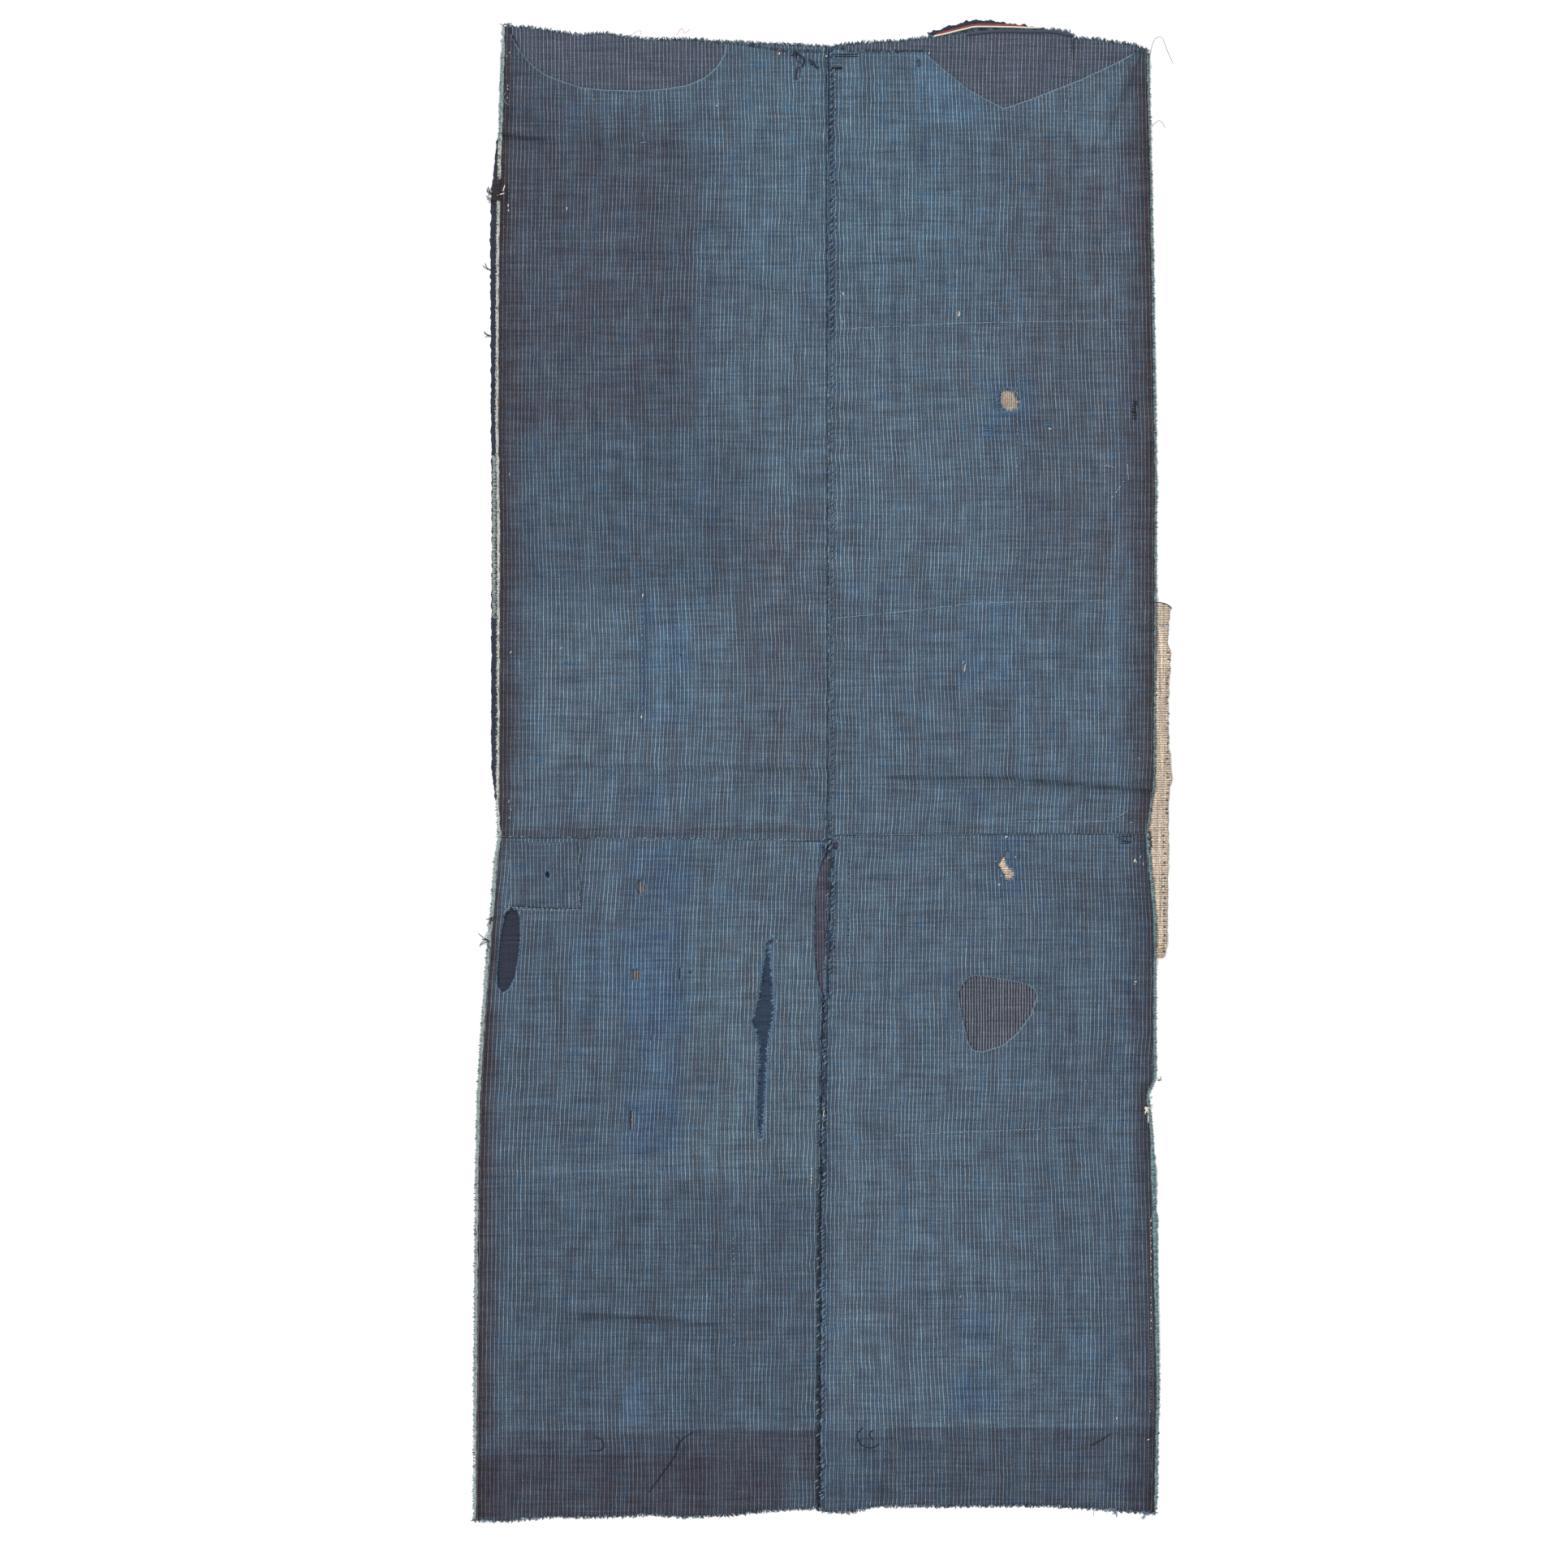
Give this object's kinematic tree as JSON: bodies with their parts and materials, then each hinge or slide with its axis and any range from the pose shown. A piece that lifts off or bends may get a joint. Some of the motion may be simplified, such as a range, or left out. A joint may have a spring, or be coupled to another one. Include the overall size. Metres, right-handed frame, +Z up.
{
  "type": "boro patched cloth",
  "caption": "Large indigo striped patchwork cloth, two loom widths sewn together, with patches behind its holes and cut-outs; lies flat as a cover or hanging.",
  "frame": {"origin": "Centre of the bounding box's underside, on the surface that the cloth lies on", "axes": "+Y runs up the cloth, along its two loom widths, to the edge with the half-moon and the V. +X runs across it, to the side with the tan patch. +Z is up, out of the face that shows"},
  "size_m": [0.6888, 1.4792, 0.0039],
  "materials": {
    "faded_indigo": "faded indigo cotton with fine pale stripes, matte",
    "dark_indigo": "unfaded indigo cotton with fine pale stripes, matte",
    "plain_navy": "plain dark navy cotton, matte",
    "plain_blue": "plain deep blue cotton, matte",
    "grey_stripe": "coarse pale and dark striped cotton, matte",
    "brown_stripe": "brown cotton with dark and cream lines, matte",
    "tan_stripe": "pale tan cotton with fine darker lines, matte"
  },
  "bodies": {
    "root": {"panel_upper_left": "faded_indigo", "panel_upper_right": "faded_indigo", "panel_lower_left": "faded_indigo", "panel_lower_right": "faded_indigo", "patch_top_left": "dark_indigo", "patch_top_right": "dark_indigo", "patch_top_edge": "plain_navy", "patch_left_edge": "plain_navy", "patch_left_navy": "plain_navy", "patch_tear": "plain_blue", "patch_seam": "grey_stripe", "patch_brown": "brown_stripe", "patch_round": "grey_stripe", "patch_tan_edge": "tan_stripe", "patch_tan_hole": "tan_stripe", "patch_corner": "faded_indigo"}
  },
  "joints": []
}
